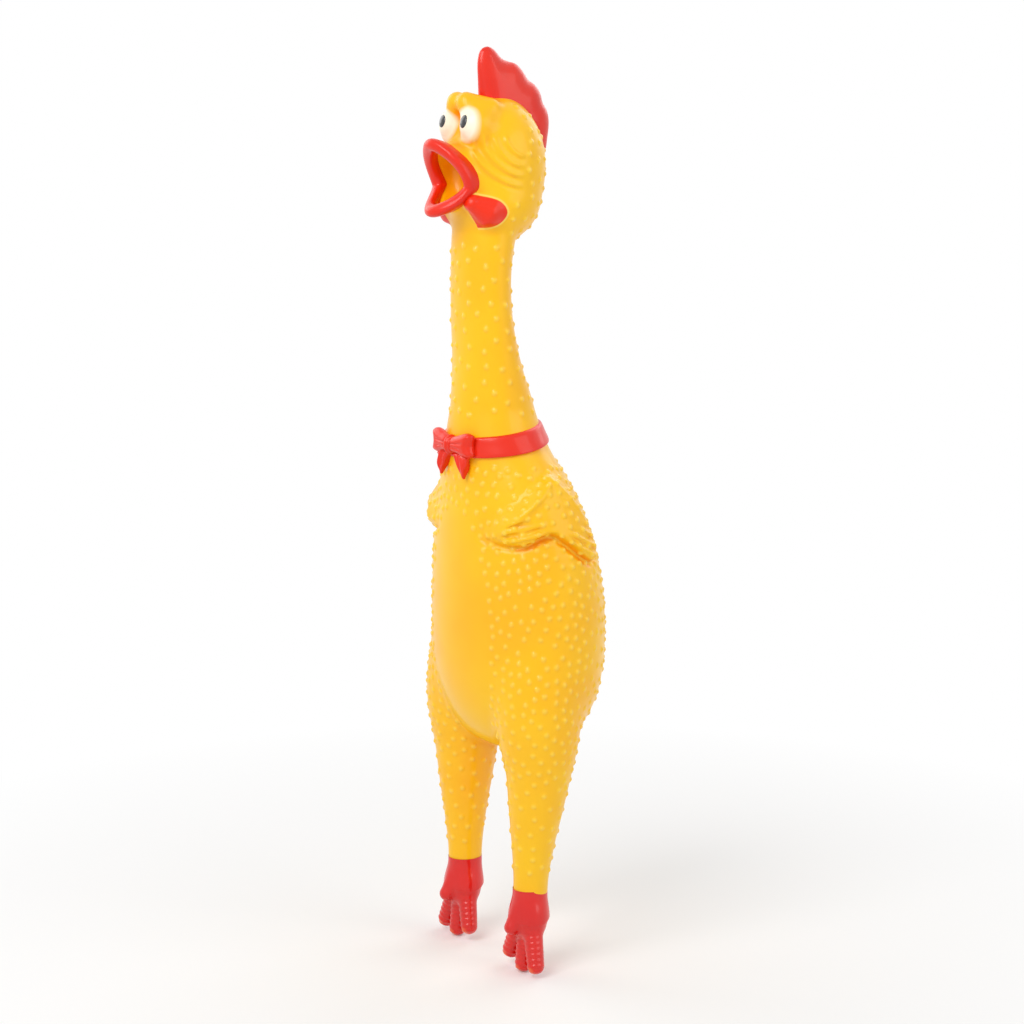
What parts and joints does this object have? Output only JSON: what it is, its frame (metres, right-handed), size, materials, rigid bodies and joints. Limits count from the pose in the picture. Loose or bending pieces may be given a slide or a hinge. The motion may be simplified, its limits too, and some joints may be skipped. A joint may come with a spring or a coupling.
{
  "type": "rubber chicken",
  "caption": "Hollow soft vinyl squeaky chicken with a bending neck, swinging legs, squeezable belly, open beak and a reed voice box.",
  "frame": {"origin": "middle of the body at its widest level, where the holding hand grips it", "axes": "+Z from the feet to the comb, the face looks along -Y, the bird's left side is +X"},
  "size_m": [0.096, 0.0835, 0.4002],
  "materials": {
    "yellow_vinyl": "soft gloss, slightly translucent",
    "red_paint": "glossy painted vinyl",
    "eye_white": "soft gloss paint",
    "pupil_black": "glossy paint",
    "voice_plastic": "moulded",
    "reed_film": "springy film"
  },
  "bodies": {
    "torso": {"torso_shell": "yellow_vinyl", "tail_knob": "yellow_vinyl", "wing_left": "yellow_vinyl", "wing_right": "yellow_vinyl", "neck_base": "yellow_vinyl", "ribbon_band": "red_paint", "bow_knot": "red_paint", "bow_loops": "red_paint", "bow_tails": "red_paint"},
    "belly": {"belly_panel": "yellow_vinyl"},
    "neck_lower": {"neck_lower": "yellow_vinyl"},
    "neck_upper": {"neck_upper": "yellow_vinyl"},
    "head": {"head_shell": "yellow_vinyl", "throat": "yellow_vinyl", "mouth_lining": "yellow_vinyl", "beak_upper": "red_paint", "beak_lower": "red_paint", "eye_left": "eye_white", "eye_right": "eye_white", "pupil_left": "pupil_black", "pupil_right": "pupil_black", "brow": "yellow_vinyl", "wattle_left": "red_paint", "wattle_right": "red_paint", "comb": "red_paint", "voice_barrel": "voice_plastic", "voice_grille": "voice_plastic", "voice_end_cap": "voice_plastic", "tone_board": "voice_plastic", "reed_wedge": "voice_plastic", "reed_root": "reed_film"},
    "reed": {"reed_tongue": "reed_film"},
    "leg_left": {"leg_left": "yellow_vinyl"},
    "leg_right": {"leg_right": "yellow_vinyl"},
    "foot_left": {"foot_left": "red_paint", "spur_left": "red_paint"},
    "foot_right": {"foot_right": "red_paint", "spur_right": "red_paint"}
  },
  "joints": [
    {"name": "belly_squeeze", "type": "slide", "parent": "torso", "child": "belly", "axis": [0, 1, 0], "range_m": [0, 0.014], "stiffness_N_per_m": 750},
    {"name": "neck_nod", "type": "hinge", "parent": "torso", "child": "neck_lower", "pos_m": [0, -0.0155, 0.118], "axis": [1, 0, 0], "range_deg": [-40, 45], "stiffness_Nm_per_rad": 1.2},
    {"name": "neck_sway", "type": "hinge", "parent": "neck_lower", "child": "neck_upper", "pos_m": [0, -0.0187, 0.146], "axis": [0, 1, 0], "range_deg": [-35, 35], "stiffness_Nm_per_rad": 1},
    {"name": "head_nod", "type": "hinge", "parent": "neck_upper", "child": "head", "pos_m": [0, -0.0172, 0.175], "axis": [1, 0, 0], "range_deg": [-30, 30], "stiffness_Nm_per_rad": 1},
    {"name": "reed_beat", "type": "hinge", "parent": "head", "child": "reed", "pos_m": [0, -0.004, 0.19982], "axis": [1, 0, 0], "range_deg": [0, 6], "stiffness_Nm_per_rad": 0.0002},
    {"name": "left_hip", "type": "hinge", "parent": "torso", "child": "leg_left", "pos_m": [0.03, -0.008, -0.036], "axis": [1, 0, 0], "range_deg": [-60, 30], "stiffness_Nm_per_rad": 0.5},
    {"name": "right_hip", "type": "hinge", "parent": "torso", "child": "leg_right", "pos_m": [-0.03, -0.008, -0.036], "axis": [1, 0, 0], "range_deg": [-60, 30], "stiffness_Nm_per_rad": 0.5},
    {"name": "left_ankle", "type": "hinge", "parent": "leg_left", "child": "foot_left", "pos_m": [0.027, -0.011, -0.114], "axis": [1, 0, 0], "range_deg": [-35, 35], "stiffness_Nm_per_rad": 0.2},
    {"name": "right_ankle", "type": "hinge", "parent": "leg_right", "child": "foot_right", "pos_m": [-0.027, -0.011, -0.114], "axis": [1, 0, 0], "range_deg": [-35, 35], "stiffness_Nm_per_rad": 0.2}
  ]
}
